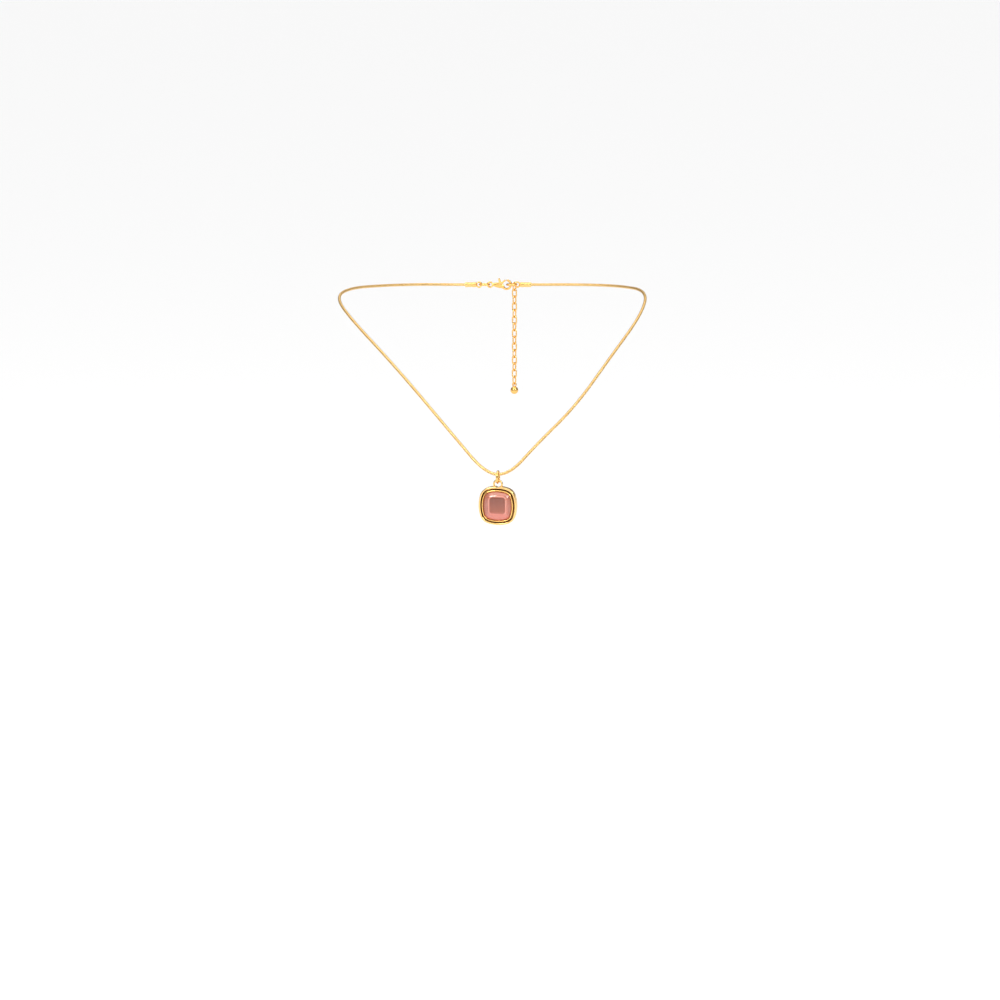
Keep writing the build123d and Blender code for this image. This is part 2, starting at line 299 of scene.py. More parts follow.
def polished_gold():
    """Gold plate over cast brass: cloudy tone, polishing lines, tiny pits, worn edges, painted shade in the
    marked recesses and a painted highlight, paler gold, where the mesh is marked for it.
    """
    gold = Finish("polished_gold")
    cloud = gold.noise(0.0016, detail=3)
    lines = gold.noise(0.00016, stretch=(1, 1, 0.12), detail=2)
    pits = gold.between(gold.noise(0.00022, detail=4), 0.66, 0.78)
    edge = gold.node("ShaderNodeNewGeometry", {}, {}, "Pointiness")
    worn = gold.between(edge, 0.51, 0.56)
    tone = gold.mixed(cloud, gold_deep, gold_plain)
    # paler gold on worn edges, and a painted highlight: paler gold wherever the mesh carries the highlight
    # mark
    tone = gold.mixed((worn * 0.3 + gold.marked("painted_highlight") * (1 - 0.35 * cloud)).kept(), tone, gold_pale_wear_and_highlight)
    # painted shade: the marked recess turns dark brown, standing for the shade in the groove
    recess = gold.marked("recess")
    tone = gold.mixed((recess * (0.7 + 0.4 * cloud)).kept(), tone, gold_painted_shade)
    rough = 0.13 + 0.07 * cloud + 0.06 * lines + 0.1 * pits + 0.25 * recess
    height = 0.6 * lines - pits
    return gold.show(
        Base_Color=tone, Metallic=1.0, Roughness=rough, Normal=gold.bump(height, 0.000004, strength=0.5)
    )


def snake_gold():
    """The chain's plate: bright plate crowns, rubbed along the outside, and painted shade darkening the seams
    between the plates.
    """
    gold = Finish("snake_gold")
    seam = gold.marked("seam")
    cloud = gold.noise(0.004, detail=3)
    grain = gold.noise(0.00018, detail=3)
    tone = gold.mixed(cloud, gold_deep, gold_plain)
    tone = gold.mixed(((1 - seam) * grain * 0.6).kept(), tone, gold_pale_wear_and_highlight)
    # painted shade: the seams between the plates turn nearly black
    tone = gold.mixed((seam * 0.95).kept(), tone, gold_painted_shade)
    rough = 0.2 + 0.12 * grain + 0.2 * seam
    return gold.show(
        Base_Color=tone, Metallic=1.0, Roughness=rough, Normal=gold.bump(grain, 0.000006, strength=0.5)
    )


def cat_eye_glass(centre):
    """Milky pink glass with upright fibres, with light and shade painted into its colour: the flat table
    painted dark for its depth and the dark it reflects, the sloped sides painted lighter towards the bottom
    and darker at the flanks, with a painted sheen, painted highlight lines round the table and a painted dark
    band under the bezel.
    """
    glass = Finish("cat_eye_glass")
    from_centre = {0: glass.place, 1: tuple(centre)}
    x, _, z = glass.apart(glass.node("ShaderNodeVectorMath", {"operation": "SUBTRACT"}, from_centre))
    fibres = glass.noise(0.00042, stretch=(1, 0.4, 0.05), detail=3)
    painted_sheen = glass.noise(0.0026, stretch=(1, 0.5, 0.12), detail=1)
    # painted light: the sloped sides lighter towards the bottom of the stone, and painted shade darkening its
    # flanks
    low = glass.between(z, 0.0045, -0.0055)
    painted_flank_shade = glass.between(abs(x), 0.0028, 0.0046) * glass.between(z, -0.0055, -0.002)
    slope = glass.mixed(low, (0.5, 0.165, 0.11, 1), (0.66, 0.19, 0.145, 1))
    slope = glass.mixed(painted_flank_shade * 0.8, slope, (0.36, 0.115, 0.075, 1))
    # painted shade in the table, for the glass's depth and the dark it reflects: darker at the top, lighter
    # towards the bottom, and weaker low down
    deep = glass.mixed(low, (0.16, 0.02, 0.003, 1), (0.34, 0.075, 0.03, 1))
    melting = 0.45 + 0.55 * glass.between(z, -0.0034, -0.0018)
    tone = glass.mixed(glass.marked("table") * melting, slope, deep)
    tone = glass.mixed((fibres * 0.17).kept(), tone, (0.58, 0.24, 0.16, 1))
    # painted sheen: broad upright streaks of lighter pink, the glass's silky shine
    tone = glass.mixed(((painted_sheen - 0.5) * 0.4).kept(), tone, (0.64, 0.3, 0.22, 1))
    # painted highlight lines round the table, on its left, top and right
    tone = glass.mixed((glass.marked("edge") * 0.7).kept(), tone, (0.9, 0.44, 0.35, 1))
    # painted dark band under the bezel's lip, for the bezel's shade and reflection in the glass, widest at
    # the top
    tone = glass.mixed(glass.marked("rim"), tone, (0.42, 0.06, 0.022, 1))
    return glass.show(
        Base_Color=tone,
        Roughness=0.28 + 0.12 * fibres,
        Coat_Weight=1.0,
        Coat_Roughness=0.04,
        Subsurface_Weight=0.25,
        Subsurface_Radius=(1.0, 0.35, 0.25),
        Subsurface_Scale=0.0006,
        IOR=1.52,
        Normal=glass.bump(fibres, 0.000003, strength=0.4),
    )


def setting_cement():
    """Hardened jeweller's cement: yellowish, with small bubbles."""
    cement = Finish("setting_cement")
    cloud = cement.noise(0.0012, detail=4)
    bubbles = cement.between(cement.noise(0.0003, detail=1), 0.62, 0.7)
    tone = cement.mixed(cloud, (0.62, 0.5, 0.34, 1), (0.78, 0.68, 0.52, 1))
    return cement.show(
        Base_Color=tone, Roughness=0.35 + 0.3 * cloud, Normal=cement.bump(cloud - bubbles, 0.00003)
    )


def spring_steel():
    """Rolled spring steel with fine lines along the strip and a little straw colour from its heat."""
    steel = Finish("spring_steel")
    lines = steel.noise(0.00005, stretch=(0.08, 1, 1), detail=3)
    heat = steel.noise(0.0009, detail=2)
    tone = steel.mixed(heat, (0.56, 0.56, 0.57, 1), (0.6, 0.5, 0.36, 1))
    return steel.show(
        Base_Color=tone, Metallic=1.0, Roughness=0.24 + 0.16 * lines, Normal=steel.bump(lines, 0.000003)
    )


def studio_paper(name, colour):
    """Matt pale paper with a faint tooth."""
    paper = Finish(name)
    tooth = paper.noise(0.002, detail=4)
    tone = paper.mixed(tooth, tuple(0.985 * part for part in colour) + (1,), colour + (1,))
    return paper.show(Base_Color=tone, Roughness=0.9, Normal=paper.bump(tooth, 0.00005, strength=0.2))


# ---------------------------------------------------------------- mesh tools


class Plane:
    """A place to draw on: u and v lie in the plane and w stands out of it."""

    def __init__(self, origin, u_axis, v_axis):
        self.origin = Vector(origin)
        self.u_axis = Vector(u_axis)
        self.v_axis = Vector(v_axis)
        self.w_axis = self.u_axis.cross(self.v_axis)

    def at(self, u, v, w=0.0):
        return self.origin + self.u_axis * u + self.v_axis * v + self.w_axis * w


def skin(rings, closed=False):
    """Points and faces of a skin over rings of points; its open ends are capped."""
    sides = len(rings[0])
    points = [point for ring in rings for point in ring]
    rows = len(rings) if closed else len(rings) - 1
    faces = []
    for row in range(rows):
        here = row * sides
        there = (row + 1) % len(rings) * sides
        for side in range(sides):
            beside = (side + 1) % sides
            faces.append((here + side, here + beside, there + beside, there + side))
    if not closed:
        faces.append(tuple(range(sides)))
        faces.append(tuple(range(len(points) - sides, len(points))))
    return points, faces


def shape(name, points, faces):
    """A loose object of that mesh, with its faces turned outwards."""
    mesh = bpy.data.meshes.new(name)
    mesh.from_pydata([tuple(point) for point in points], [], faces)
    work = bmesh.new()
    work.from_mesh(mesh)
    bmesh.ops.recalc_face_normals(work, faces=work.faces)
    work.to_mesh(mesh)
    work.free()
    made = bpy.data.objects.new(name, mesh)
    scene.collection.objects.link(made)
    return made


def settle(made):
    """Turns an object's modifiers into its own mesh."""
    bpy.context.view_layer.update()
    mesh = bpy.data.meshes.new_from_object(made.evaluated_get(bpy.context.evaluated_depsgraph_get()))
    made.modifiers.clear()
    made.data = mesh


def combine(made, other, operation):
    """Adds other to the object or cuts it out; other is used up."""
    cutter = made.modifiers.new("combine", "BOOLEAN")
    cutter.operation = operation
    cutter.solver = "EXACT"
    cutter.object = other
    settle(made)
    bpy.data.objects.remove(other)


def piece(made, body, nodes, finish, smooth_under=35):
    """Dresses an object as a piece of the necklace that rides on a body and stands for its nodes."""
    made.data.materials.clear()
    made.data.materials.append(finish)
    made.data.shade_smooth()
    made.data.set_sharp_from_angle(angle=radians(smooth_under))
    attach(made, body)
    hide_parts(*nodes)
    return made


def mark(made, name, values):
    """Gives each point of the mesh a number that its finish reads."""
    marks = made.data.attributes.new(name, "FLOAT", "POINT")
    marks.data.foreach_set("value", values)


def squared(value, squareness):
    """One coordinate of a section between a circle, at 2, and a rounded square, above it."""
    return copysign(abs(value) ** (2 / squareness), value)


def bar(plane, line, half_widths, half_thicknesses, squareness=2, closed=False, sides=wire_sides):
    """Rings of a bar whose middle follows a flat line."""
    count = len(line)
    rings = []
    for number, (u, v) in enumerate(line):
        before = line[number - 1] if closed or number else line[0]
        after = line[(number + 1) % count] if closed or number < count - 1 else line[-1]
        along = Vector((after[0] - before[0], after[1] - before[1])).normalized()
        ring = []
        for side in range(sides):
            turn = tau * side / sides
            out = squared(cos(turn), squareness) * half_widths[number]
            up = squared(sin(turn), squareness) * half_thicknesses[number]
            ring.append(plane.at(u - along.y * out, v + along.x * out, up))
        rings.append(ring)
    return rings


def on_oval(arc_radius, half_straight, way):
    """The point of an oval that far round it, clockwise from the middle of its left side."""
    arc = pi * arc_radius
    if way < half_straight:
        return (-arc_radius, way)
    way -= half_straight
    if way < arc:
        turn = pi - way / arc_radius
        return (arc_radius * cos(turn), half_straight + arc_radius * sin(turn))
    way -= arc
    if way < 2 * half_straight:
        return (arc_radius, half_straight - way)
    way -= 2 * half_straight
    if way < arc:
        turn = -way / arc_radius
        return (arc_radius * cos(turn), -half_straight + arc_radius * sin(turn))
    return (-arc_radius, -half_straight + way - arc)


def wire_loop(name, plane, arc_radius, wire_radius, half_straight=0.0, steps=96):
    """A loop of round wire, closed by bending, with the fine cut still seen in its left side."""
    around = tau * arc_radius + 4 * half_straight
    ways = [wire_cut / 2, wire_cut / 2 + cut_edge]
    ways += [around * (step + 1) / (steps + 2) for step in range(steps + 1)]
    ways += [around - way for way in reversed(ways[:2])]
    line = [on_oval(arc_radius, half_straight, way) for way in ways]
    radii = [wire_radius] * len(line)
    radii[0] = radii[-1] = wire_radius - cut_edge
    return shape(name, *skin(bar(plane, line, radii, radii)))


def solid_ring(name, plane, mean_radius, wire_radius, steps=72, sides=wire_sides):
    """A cast ring with no cut."""
    line = [(mean_radius * cos(tau * n / steps), mean_radius * sin(tau * n / steps)) for n in range(steps)]
    radii = [wire_radius] * steps
    return shape(name, *skin(bar(plane, line, radii, radii, closed=True, sides=sides), closed=True))


def turned(name, plane, profile, sides=64):
    """A turned piece: the profile's radius and height, round the plane's w axis."""
    rings = []
    for radius, height in profile:
        turns = [tau * side / sides for side in range(sides)]
        rings.append([plane.at(radius * cos(turn), radius * sin(turn), height) for turn in turns])
    return shape(name, *skin(rings))


def softened(outline, rounds=3):
    """A closed outline with its corners cut again and again until they are round."""
    for _ in range(rounds):
        cut = []
        for (u, v), (next_u, next_v) in zip(outline, outline[1:] + outline[:1]):
            cut.append((0.75 * u + 0.25 * next_u, 0.75 * v + 0.25 * next_v))
            cut.append((0.25 * u + 0.75 * next_u, 0.25 * v + 0.75 * next_v))
        outline = cut
    return outline


def plate(name, plane, outline, half_thickness, edge):
    """A flat plate of that outline with rounded edges."""
    count = len(outline)
    inward = []
    for number in range(count):
        before = outline[number - 1]
        after = outline[(number + 1) % count]
        along = Vector((after[0] - before[0], after[1] - before[1])).normalized()
        inward.append((-along.y, along.x))
    rings = []
    for face in (-1, 1):
        for step in range(5)[::face]:
            turn = pi / 8 * step
            inset = edge * (1 - cos(turn))
            height = face * (half_thickness - edge * (1 - sin(turn)))
            ring = []
            for (u, v), (in_u, in_v) in zip(outline, inward):
                ring.append(plane.at(u + in_u * inset, v + in_v * inset, height))
            rings.append(ring)
    return shape(name, *skin(rings))


def arc(centre_u, centre_v, radius, first, last, steps):
    """Points on an arc, its angles in degrees."""
    points = []
    for step in range(steps + 1):
        turn = radians(first + (last - first) * step / steps)
        points.append((centre_u + radius * cos(turn), centre_v + radius * sin(turn)))
    return points


def middle(node):
    """The middle of a CAD node's box."""
    low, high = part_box(node)
    return (low + high) / 2


gold_finish = polished_gold()
snake_finish = snake_gold()

# ---------------------------------------------------------------- chain


def chain_line():
    """Points close together on the smooth line of the chain."""
    curve = bpy.data.curves.new("chain_line", "CURVE")
    curve.dimensions = "3D"
    curve.resolution_u = 64
    spline = curve.splines.new("NURBS")
    spline.points.add(len(chain_route) - 1)
    for point, place in zip(spline.points, chain_route):
        point.co = (*place, 1)
    spline.order_u = 3
    spline.use_endpoint_u = True
    line = bpy.data.objects.new("chain_line", curve)
    scene.collection.objects.link(line)
    bpy.context.view_layer.update()
    points = [vertex.co.copy() for vertex in bpy.data.meshes.new_from_object(line).vertices]
    bpy.data.objects.remove(line)
    return points


def stations(points, step_lengths):
    """Places, directions and cross axes along a line of points, one after each step length in turn."""
    lengths = [0.0]
    for first, second in zip(points, points[1:]):
        lengths.append(lengths[-1] + (second - first).length)
    total = lengths[-1]
    plates = round(total / sum(step_lengths))
    stretch = total / (plates * sum(step_lengths))
    way = 0.0
    span = 0
    across = None
    found = []
    for number in range(plates * len(step_lengths) + 1):
        while span < len(points) - 2 and lengths[span + 1] < way:
            span += 1
        share = (way - lengths[span]) / (lengths[span + 1] - lengths[span])
        place = points[span].lerp(points[span + 1], min(share, 1.0))
        before = points[max(span - 1, 0)]
        after = points[min(span + 2, len(points) - 1)]
        along = (after - before).normalized()
        if across is None:
            across = along.cross(Vector((0, 0, 1))).normalized()
        across = (across - along * across.dot(along)).normalized()
        found.append((place, along, across))
        way += step_lengths[number % len(step_lengths)] * stretch
    return found


def make_snake_chain():
    """Wavy plates in a row, each locked into the next, as one mesh with a seam between each pair."""
    shares = [0.17, 0.33, 0.33, 0.17]
    heights = [1 - plate_groove, 0.98, 1.0, 0.98]
    # how much painted shade each part of a plate gets: full in the seam, a little beside it
    seams = [1.0, 0.15, 0.0, 0.15]
    points = chain_line()
    rings = []
    marks = []
    for number, (place, along, across) in enumerate(stations(points, [plate_pitch * s for s in shares])):
        part = number % len(shares)
        radius = chain_diameter / 2 * heights[part]
        up = along.cross(across)
        ring = []
        for side in range(plate_sides):
            turn = tau * side / plate_sides
            shift = plate_wave * sin(plate_lobes * turn)
            ring.append(place + along * shift + (across * cos(turn) + up * sin(turn)) * radius)
        rings.append(ring)
        marks += [seams[part]] * plate_sides
    chain = shape("snake_chain_woven", *skin(rings))
    mark(chain, "seam", marks)
    piece(chain, "chain", ["snake_chain"], snake_finish, smooth_under=60)


def make_end_cap(side, node):
    """Turned and crimped cap with a cast eye; side is -1 at the left and 1 at the right."""
    low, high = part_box(node)
    inner = high.x if side < 0 else low.x
    eye_x = inner + side * (eye_mean_radius + eye_wire_radius)
    y = middle(node).y
    plane = Plane((eye_x, y, 0), (0, side, 0), (0, 0, 1))
    start = eye_mean_radius - eye_wire_radius * 0.4
    end = eye_mean_radius + cap_length
    dome = [(0.15, 0.0), (0.45, 0.05), (0.7, 0.16), (0.88, 0.34), (0.97, 0.58), (1.0, 0.9)]
    profile = [(cap_radius * r, start + 0.0009 * h) for r, h in dome]
    crimp_shape = [(-0.62, 0), (-0.5, 0.3), (-0.3, 0.85), (0, 1), (0.3, 0.85), (0.5, 0.3), (0.62, 0)]
    for crimp in cap_crimp_places:
        at = eye_mean_radius + crimp * cap_length
        for across, depth in crimp_shape:
            profile.append((cap_radius - depth * cap_crimp_depth, at + across * cap_crimp_width))
    lip = 0.00012
    bore = chain_diameter / 2 + 0.00003
    profile += [(cap_radius, end - lip), (cap_radius - 0.3 * lip, end - 0.3 * lip), (cap_radius - lip, end)]
    profile += [(bore + lip, end), (bore + 0.3 * lip, end - 0.3 * lip), (bore, end - lip)]
    profile += [(bore, end - cap_bore_depth)]
    cap = turned(f"{node}_crimped", plane, profile)
    eye_plane = Plane((eye_x, y, 0), (1, 0, 0), (0, 0, 1))
    combine(cap, solid_ring("eye", eye_plane, eye_mean_radius, eye_wire_radius), "UNION")
    piece(cap, "chain", [node], gold_finish)


make_snake_chain()
make_end_cap(-1, "left_end_cap")
make_end_cap(1, "right_end_cap")

# ---------------------------------------------------------------- pendant


def cushion_corner():
    """The middle of the right upper corner arc, and the angles at which it meets the two side arcs."""
    reach = frame_side_radius - frame_corner_radius
    side_x = Vector((frame_half_width - frame_side_radius, 0))
    side_y = Vector((0, frame_half_height - frame_side_radius))
    outward = Vector((-side_y.y, -side_x.x)).normalized()
    half_gap = (side_x - side_y).length / 2
    centre = (side_x + side_y) / 2 + outward * (reach**2 - half_gap**2) ** 0.5
    right = centre - side_x
    top = centre - side_y
    return centre, atan2(right.y, right.x), atan2(top.y, top.x)


def cushion_outline(steps=16):
    """Points and outward directions round the cushion, anticlockwise from the middle of its right side."""
    corner, first, second = cushion_corner()
    side_x = Vector((frame_half_width - frame_side_radius, 0))
    side_y = Vector((0, frame_half_height - frame_side_radius))
    quarter = []
    arcs = (
        (side_x, frame_side_radius, 0.0, first),
        (corner, frame_corner_radius, first, second),
        (side_y, frame_side_radius, second, pi / 2),
    )
    for centre, radius, start, end in arcs:
        for step in range(steps):
            turn = start + (end - start) * step / steps
            direction = Vector((cos(turn), sin(turn)))
            quarter.append((centre + direction * radius, direction))
    top = (Vector((0, frame_half_height)), Vector((0, 1)))
    half = quarter + [top] + [mirrored(pair, -1, 1) for pair in reversed(quarter[1:])]
    return half + [mirrored(pair, -1, -1) for pair in half]


def mirrored(pair, across, up):
    """A point and its direction, mirrored left to right, upside down or both."""
    return tuple(Vector((part.x * across, part.y * up)) for part in pair)


outline = cushion_outline()
frame_low, frame_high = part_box("pendant_frame")
frame_z = frame_low.z + frame_half_height
loop_z = frame_high.z - loop_mean_radius - loop_wire_radius
loop_y = middle("bail_ring").y
pendant_right = Vector((cos(pendant_turn), -sin(pendant_turn), 0))
pendant_back = Vector((sin(pendant_turn), cos(pendant_turn), 0))
groove_shade = 0.0024
groove_fade = 0.0004
loop_plane = Plane((0, loop_y, loop_z), pendant_right, (0, 0, 1))
back_centre = Vector((0, loop_y, frame_z)) + pendant_back * frame_back_behind_loop
back = Plane(back_centre, pendant_right, (0, 0, 1))


def cushion_solid(name, profile):
    """A solid with a cushion outline: the profile's insets and depths, from its back to its front."""
    rings = []
    for inset, depth in profile:
        places = [point - direction * inset for point, direction in outline]
        rings.append([back.at(place.x, place.y, depth) for place in places])
    return shape(name, *skin(rings))


def rounded_edge(inset, depth, radius, first, last, steps=6):
    """Profile points round an edge; the angle is 0 towards the outside and 90 towards the front."""
    points = []
    for step in range(steps + 1):
        turn = radians(first + (last - first) * step / steps)
        points.append((inset - radius * cos(turn), depth + radius * sin(turn)))
    return points


def mark_groove_shade_and_highlight(made, darkness, painted_highlight_amount):
    """Marks painted shade in the groove between the rim and the bezel, and a painted highlight, paler gold,
    on the metal round it.
    """
    recess = []
    painted_highlight = []
    for vertex in made.data.vertices:
        offset = vertex.co - back.origin
        place = Vector((offset.dot(back.u_axis), offset.dot(back.v_axis)))
        depth = offset.dot(back.w_axis)
        inset = min(direction.dot(point - place) for point, direction in outline)
        inside = frame_rim - 0.00002 < inset < bezel_inset + 0.00002
        shade = min(1.0, max(0.0, (groove_shade - depth) / groove_fade)) if inside else 0.0
        # the recess mark carries the painted shade, the other mark the painted highlight
        recess.append(darkness * shade)
        painted_highlight.append(painted_highlight_amount * (1 - shade))
    mark(made, "recess", recess)
    mark(made, "painted_highlight", painted_highlight)


def make_pendant_frame():
    """The cast frame: rounded rim, deep groove, plate, raised border at the back and the loop on top."""
    border = 0.0022
    recess = 0.00025
    back_round = 0.0003
    outer_round = 0.00038
    inner_round = 0.0003
    profile = [(border + 0.0002, recess), (border + 0.00004, recess)]
    profile += [(border, recess - 0.00004), (border, 0.00006), (border - 0.00006, 0.0)]
    profile += rounded_edge(back_round, back_round, back_round, -90, 0)
    profile += [(0.0, 0.0012)]
    profile += rounded_edge(outer_round, frame_depth - outer_round, outer_round, 0, 90, steps=8)
    profile += rounded_edge(frame_rim - inner_round, frame_depth - inner_round, inner_round, 90, 180, steps=8)
    profile += [(frame_rim, frame_plate + 0.0004)]
    profile += [(frame_rim + 0.00006, frame_plate + 0.0001), (frame_rim + 0.00016, frame_plate)]
    profile += [(bezel_inset + 0.0004, frame_plate)]
    body = cushion_solid("pendant_frame_cast", profile)
    combine(body, solid_ring("loop", loop_plane, loop_mean_radius, loop_wire_radius, steps=96), "UNION")
    reach = 0.0014
    flare = loop_hole_radius * 1.25
    straight = 0.00115
    hole = [(flare, -reach), (loop_hole_radius, -straight), (loop_hole_radius, straight), (flare, reach)]
    combine(body, turned("hole", loop_plane, hole, sides=96), "DIFFERENCE")
    # painted shade in the frame's groove, and a painted highlight, paler gold, over the rest of the frame
    mark_groove_shade_and_highlight(body, darkness=1.0, painted_highlight_amount=0.32)
    piece(body, "pendant", ["pendant_frame"], gold_finish)


def make_bezel_cup():
    """The bezel: a thin wall burnished over the edge of the stone, in one with its floor."""
    lip_under = 0.00238
    wall = 0.00029
    lip = 0.0005
    outer_round = 0.00034
    inner_round = 0.00015
    profile = [(bezel_inset + 0.0004, frame_plate), (bezel_inset, frame_plate), (bezel_inset, 0.0016)]
    profile += rounded_edge(bezel_inset + outer_round, bezel_top - outer_round, outer_round, 0, 90, steps=8)
    lip_centre = bezel_inset + lip - inner_round
    profile += rounded_edge(lip_centre, bezel_top - inner_round, inner_round, 90, 180, steps=6)
    profile += [(bezel_inset + lip, lip_under), (bezel_inset + wall, lip_under)]
    profile += [(bezel_inset + wall, bezel_floor)]
    cup = cushion_solid("bezel_cup_burnished", profile)
    # painted shade, a little lighter, on the bezel's outer wall down in the groove; no painted highlight
    mark_groove_shade_and_highlight(cup, darkness=0.75, painted_highlight_amount=0.0)
    piece(cup, "pendant", ["bezel_cup"], gold_finish)


def make_stone_cement():
    """The dab of cement under the stone, a little squeezed out at its edge."""
    profile = [(cement_inset + 0.00004, bezel_floor), (cement_inset - 0.00002, bezel_floor + 0.00006)]
    profile += [(cement_inset - 0.00002, cement_top - 0.00006), (cement_inset + 0.00004, cement_top)]
    dab = cushion_solid("stone_cement_dab", profile)
    piece(dab, "pendant", ["stone_cement"], setting_cement())


def table_point(direction):
    """The edge of the stone's table, a rounded rectangle, in that direction from its middle."""
    u, v = direction
    core_u = table_half_width - table_corner
    core_v = table_half_height - table_corner
    if abs(v) * table_half_width <= abs(u) * core_v:
        return Vector((u, v)) * (table_half_width / abs(u))
    if abs(u) * table_half_height <= abs(v) * core_u:
        return Vector((u, v)) * (table_half_height / abs(v))
    corner = Vector((copysign(core_u, u), copysign(core_v, v)))
    ray = Vector((u, v)).normalized()
    along = ray.dot(corner)
    return ray * (along + (along**2 - corner.length_squared + table_corner**2) ** 0.5)


def outside_window(place):
    """How far a point of the stone's front lies outside the dark window painted on the table, for the glass's
    depth and the dark it reflects.
    """
    u = abs(place.x - window_right) - (table_half_width - table_corner)
    v = abs(place.y - window_up) - (table_half_height - table_corner)
    return Vector((max(u, 0.0), max(v, 0.0))).length + min(max(u, v), 0.0) - table_corner


def make_stone():
    """Cushion of cat's-eye glass: upright girdle, full rounded sides and a flat table."""
    back_depth = cement_top
    crown = stone_top - stone_girdle
    girdle_ring = [point - direction * stone_inset for point, direction in outline]
    table_ring = [table_point(point) for point in girdle_ring]
    rings = []
    marks = {"table": [], "rim": [], "edge": []}

    def add(places, depth, share=0.0):
        rings.append([back.at(place.x, place.y, depth) for place in places])
        for place, (_, direction) in zip(places, outline):
            outside = outside_window(place)
            upward = max(0.0, direction.y)
            # the marks that carry the stone's painted light: the table's painted dark, the painted dark band
            # under the bezel and the painted highlight line round the table
            marks["table"].append(min(1.0, max(0.0, 0.5 - outside / window_fade)))
            marks["rim"].append(max(0.0, 1 - share / (0.15 + 0.2 * upward**2)))
            line = max(0.0, 1 - abs(outside - window_line) / window_line_width)
            marks["edge"].append(line * min(1.0, max(0.0, 1 + 1.3 * direction.y)))

    add([place * 0.94 for place in girdle_ring], back_depth)
    add([place * 0.985 for place in girdle_ring], back_depth + 0.00006)
    add(girdle_ring, back_depth + 0.00022)
    add(girdle_ring, stone_girdle - 0.00008)
    steps = 24
    for step in range(steps + 1):
        share = step / steps
        places = [low.lerp(high, share) for low, high in zip(girdle_ring, table_ring)]
        swell = crown_swell * sin(pi * share)
        add(places, stone_girdle + crown * min(share + swell, 1.0) * 0.985, share)
    table_edge = [(0.985, 0.994), (0.965, 0.998)]
    for share, lift in table_edge + [(share, 1) for share in (0.94, 0.9, 0.86, 0.82, 0.76, 0.3)]:
        add([place * share for place in table_ring], stone_girdle + crown * lift, share=1.0)
    stone = shape("stone_polished", *skin(rings))
    for name, values in marks.items():
        mark(stone, name, values)
    centre = middle("stone")
    piece(stone, "pendant", ["stone"], cat_eye_glass(centre), smooth_under=50)


make_pendant_frame()
make_bezel_cup()
make_stone_cement()
make_stone()

# the bail stands across the chain, turned a little so that its left strand is in front
bail_plane = Plane(middle("bail_ring"), (-sin(bail_yaw), -cos(bail_yaw), 0), (0, 0, 1))
bail = wire_loop("bail_ring_wire", bail_plane, bail_mean_radius, bail_wire_radius)
piece(bail, "bail", ["bail_ring"], gold_finish)

# ---------------------------------------------------------------- closure

for side, node in (("left", "left_jump_ring"), ("right", "right_jump_ring")):
    ring_plane = Plane(middle(node), (0, 1, 0), (1, 0, 0))
    ring = wire_loop(f"{node}_wire", ring_plane, ring_mean_radius, ring_wire_radius)
    piece(ring, f"{side}_ring", [node], gold_finish)

tail_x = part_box("clasp_body")[0].x + eye_mean_radius + eye_wire_radius
clasp_plane = Plane((tail_x, middle("clasp_body").y, 0), (1, 0, 0), (0, 0, 1))


def make_clasp_body():
    """Cast lobster claw: tail eye, swelling shank and a hook that closes on the lever."""
    line = [(0.0009, 0), (0.0013, 0), (0.0019, -0.00002), (0.0026, -0.00005), (0.0033, -0.0001)]
    line += [(0.004, -0.0002), (0.0046, -0.00036), (0.0051, -0.0006)]
    widths = [0.0005, 0.00064, 0.00084, 0.00102, 0.00118, 0.00125, 0.0012, 0.00102]
    thick = [0.00042, 0.0005, 0.00062, 0.00072, 0.00079, 0.0008, 0.0008, 0.0008]
    hook = arc(hook_from_tail, 0, hook_mean_radius, 212, 454, 40)
    line += hook
    for step in range(len(hook)):
        widths.append(hook_half_band + 0.0003 * max(0.0, 1 - step / 6) ** 2)
        thick.append(0.0008 - 0.00022 * step / len(hook))
    for back_step, share in ((1, 0.45), (2, 0.8), (3, 0.95)):
        widths[-back_step] *= share
        thick[-back_step] *= share
    body = shape("clasp_body_cast", *skin(bar(clasp_plane, line, widths, thick, squareness=2.4, sides=32)))
    combine(body, solid_ring("tail", clasp_plane, eye_mean_radius, eye_wire_radius), "UNION")
    slot = plate(
        "slot",
        clasp_plane,
        [(0.0032, -0.00025), (0.0063, -0.00025), (0.0063, 0.0052), (0.0032, 0.0052)],
        slot_half_width,
        0.00002,
    )
    combine(body, slot, "DIFFERENCE")
    piece(body, "clasp", ["clasp_body"], gold_finish)


def make_clasp_lever():
    """Flat lever: thumb tab, boss round the rivet and the gate that closes the hook."""
    outside = arc(hook_from_tail, 0, hook_mean_radius + 0.0004, 104, 149, 6)
    inside = arc(hook_from_tail, 0, hook_mean_radius - 0.0003, 163, 99, 6)
    boss = arc(pivot_along, pivot_up, 0.00066, 165, 290, 6)
    tab = [(0.00474, 0.00136), (0.00452, 0.00185), (0.0043, 0.0026), (0.0040, 0.00286), (0.0035, 0.0027)]
    tab += [(0.00345, 0.0024), (0.00368, 0.0016)]
    lever_outline = softened(outside + tab + boss + inside, 2)
    lever = plate("clasp_lever_cut", clasp_plane, lever_outline, lever_half_thickness, lever_edge)
    piece(lever, "lever", ["clasp_lever"], gold_finish)


